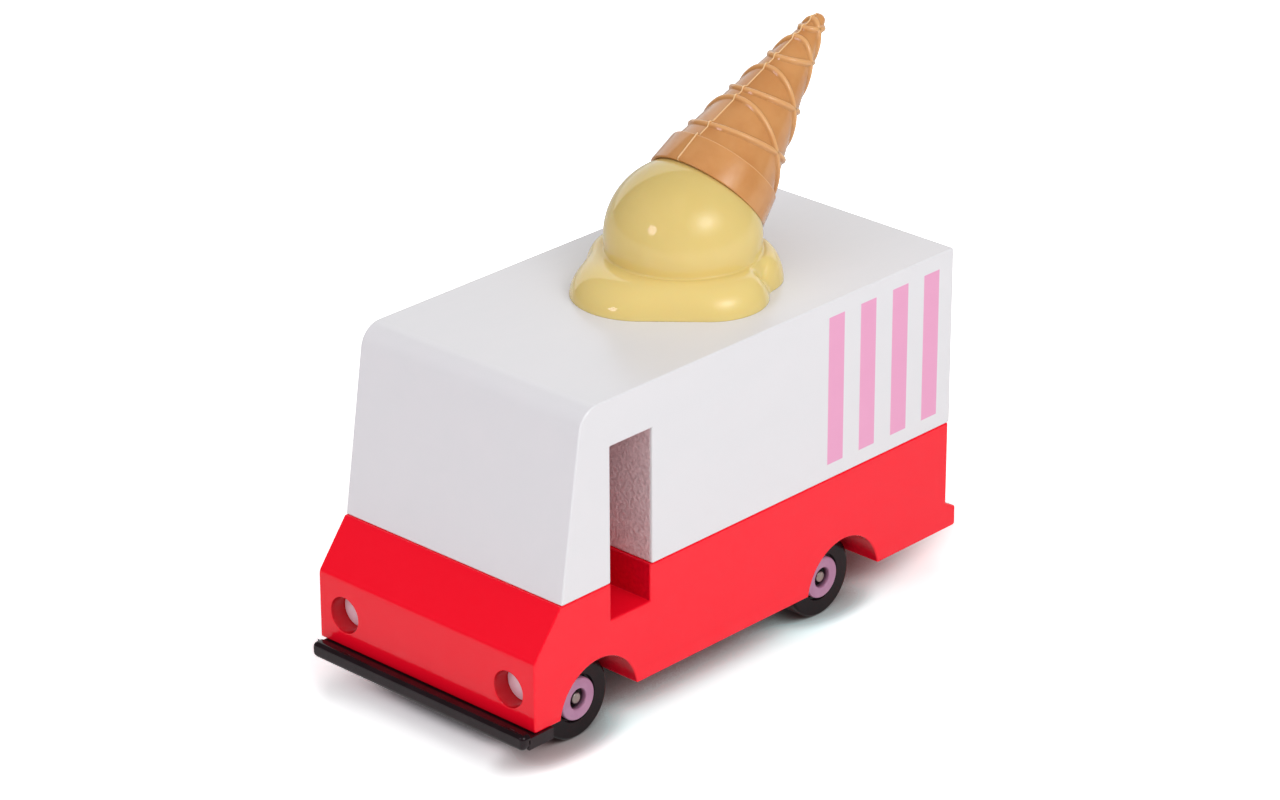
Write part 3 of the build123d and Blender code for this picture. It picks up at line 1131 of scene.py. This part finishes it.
def cone_point(along, bearing, rise):
    """A place at a height above the cone, with the cone's long direction there."""
    out = cone_front * cos(bearing) + cone_side * sin(bearing)
    down_flank = (cone_way + out * taper).normalized()
    outward = (out - cone_way * taper).normalized()
    radius = start_radius + taper * (along - shoulder)
    return cone_foot + cone_way * along + out * radius + outward * rise, down_flank


def rib_widening(rib, bearing):
    """How much wider a rib is along the cone than square to its own run."""
    step = 0.01
    run = (rib_place(rib, bearing + step) - rib_place(rib, bearing - step)) / (2 * step)
    return sqrt(1 + (run / surface_radius(max(shoulder, rib_place(rib, bearing)))) ** 2)


print(f"the first rib crosses the front {rib_place(cone_ribs[0], 0) / MM:.1f} mm up the cone's axis")


# %% Lay a rib and a parting line
def lay_rib(rib):
    """One closed ring, laid on the cone."""
    ring = bmesh.new()
    circle = bmesh.ops.create_circle(ring, segments=rib_points, radius=MM, cap_ends=False)
    for point in circle["verts"]:
        point.co = Vector((level_ring + point.co.x, 0, point.co.y))
    bmesh.ops.spin(
        ring, geom=ring.verts[:] + ring.edges[:], cent=(0, 0, 0), axis=(0, 0, 1), dvec=(0, 0, 0),
        angle=2 * pi, steps=rib_steps, use_merge=True, use_duplicate=False,
    )
    for point in ring.verts:
        bearing = atan2(point.co.y, point.co.x)
        across = point.co.z / MM
        upper = sqrt(point.co.x**2 + point.co.y**2) > level_ring
        bell = max(0.0, 1 - across * across)
        along = rib_place(rib, bearing)
        clear = min(1.0, max(0.0, (along - shoulder + rib_run_in) / rib_run_in))
        rise = rib_height * clear * bell**rib_crown if upper else -rib_root * sqrt(bell)
        place, down_flank = cone_point(along, bearing, rise - rib_sink)
        point.co = place + down_flank * across * rib_half_width * rib_widening(rib, bearing)
    bmesh.ops.recalc_face_normals(ring, faces=ring.faces)
    return ring


def rib_top(along, bearing):
    """How high the ribs stand at a place on the cone."""
    tops = [0.0]
    for rib in cone_ribs:
        off = (along - rib_place(rib, bearing)) / (rib_half_width * rib_widening(rib, bearing))
        if abs(off) < 1 and along > shoulder:
            tops.append(rib_height * (1 - off * off) ** rib_crown)
    return max(tops)


def lay_parting(bearing):
    """A thin closed rod that runs up the collar, the cone and its ribs."""
    rod = bmesh.new()
    bmesh.ops.create_cone(
        rod, cap_ends=True, cap_tris=False, segments=8, radius1=MM, radius2=MM, depth=2 * MM,
    )
    long_edges = [e for e in rod.edges if abs(e.verts[0].co.z - e.verts[1].co.z) > MM]
    bmesh.ops.subdivide_edges(rod, edges=long_edges, cuts=parting_steps, use_grid_fill=True)
    across_way = cone_side * cos(bearing) - cone_front * sin(bearing)
    for point in rod.verts:
        share = (point.co.z / MM + 1) / 2
        along = parting_start + share * (parting_end - parting_start)
        lift = surface_radius(along) - (start_radius + taper * (along - shoulder))
        stands = parting_height if point.co.y > -hair else -parting_root
        rise = lift + rib_top(along, bearing) + stands * abs(point.co.y) / MM
        place, down_flank = cone_point(along, bearing, rise)
        point.co = place + across_way * (point.co.x / MM) * parting_half_width
    bmesh.ops.recalc_face_normals(rod, faces=rod.faces)
    return rod


for rib in cone_ribs:
    join_shape(cone_shape, lay_rib(rib))
for bearing in (0.0, pi):
    join_shape(cone_shape, lay_parting(bearing))
print(f"{len(cone_ribs)} ribs and 2 parting lines")


# %% Paint highlights on what stands out
def rib_highlight_share(tree, place):
    """How far a place stands out of the bare cone, 0 to 1, as the share of painted highlight on the ribs
    and the collar's edge.
    """
    from_foot = tree.nodes.new("ShaderNodeVectorMath")
    from_foot.operation = "SUBTRACT"
    from_foot.inputs[1].default_value = cone_foot
    tree.links.new(place, from_foot.inputs[0])
    lengths = []
    for operation, result in (("DOT_PRODUCT", "Value"), ("CROSS_PRODUCT", "Vector")):
        step = tree.nodes.new("ShaderNodeVectorMath")
        step.operation = operation
        step.inputs[1].default_value = cone_way
        tree.links.new(from_foot.outputs["Vector"], step.inputs[0])
        lengths.append(step.outputs[result])
    along, square_off = lengths
    away = tree.nodes.new("ShaderNodeVectorMath")
    away.operation = "LENGTH"
    tree.links.new(square_off, away.inputs[0])
    stands = calculate(tree, "ADD", away.outputs["Value"], product(tree, along, -taper))
    bare = start_radius - taper * shoulder
    high = ramp(tree, stands, bare + 0.16 * MM, bare + 0.44 * MM, 0.0, 0.85)
    return product(tree, high, ramp(tree, along, shoulder - 0.3 * MM, shoulder - 0.16 * MM))


def parting_highlight_share(tree, place):
    """1 on the narrow flash where the two halves of the mould met, which gets a painted highlight."""
    off = calculate(tree, "ABSOLUTE", coordinates(tree, place)["Y"], 0.0)
    return ramp(tree, off, 0.07 * MM, 0.19 * MM, 0.9, 0.0)


# Painted highlights: the ribs, the collar's edge and the parting lines are made paler.
tint(cone_satin, rib_highlight_share, screen_tone(228, 172, 116))
tint(cone_satin, parting_highlight_share, screen_tone(250, 206, 154))

print(cone_satin.name, len(cone_satin.node_tree.nodes), "nodes")

# %% Seat the cone on the ball, with a gap for the glue
glue_gap = 0.05 * MM
for point in cone_shape.verts:
    from_ball = point.co - ball_centre
    if from_ball.length < ball_radius + glue_gap:
        point.co = ball_centre + from_ball.normalized() * (ball_radius + glue_gap)
add_piece("waffle_cone", cone_shape, cone_satin, "truck", "cone_plastic", "cone")
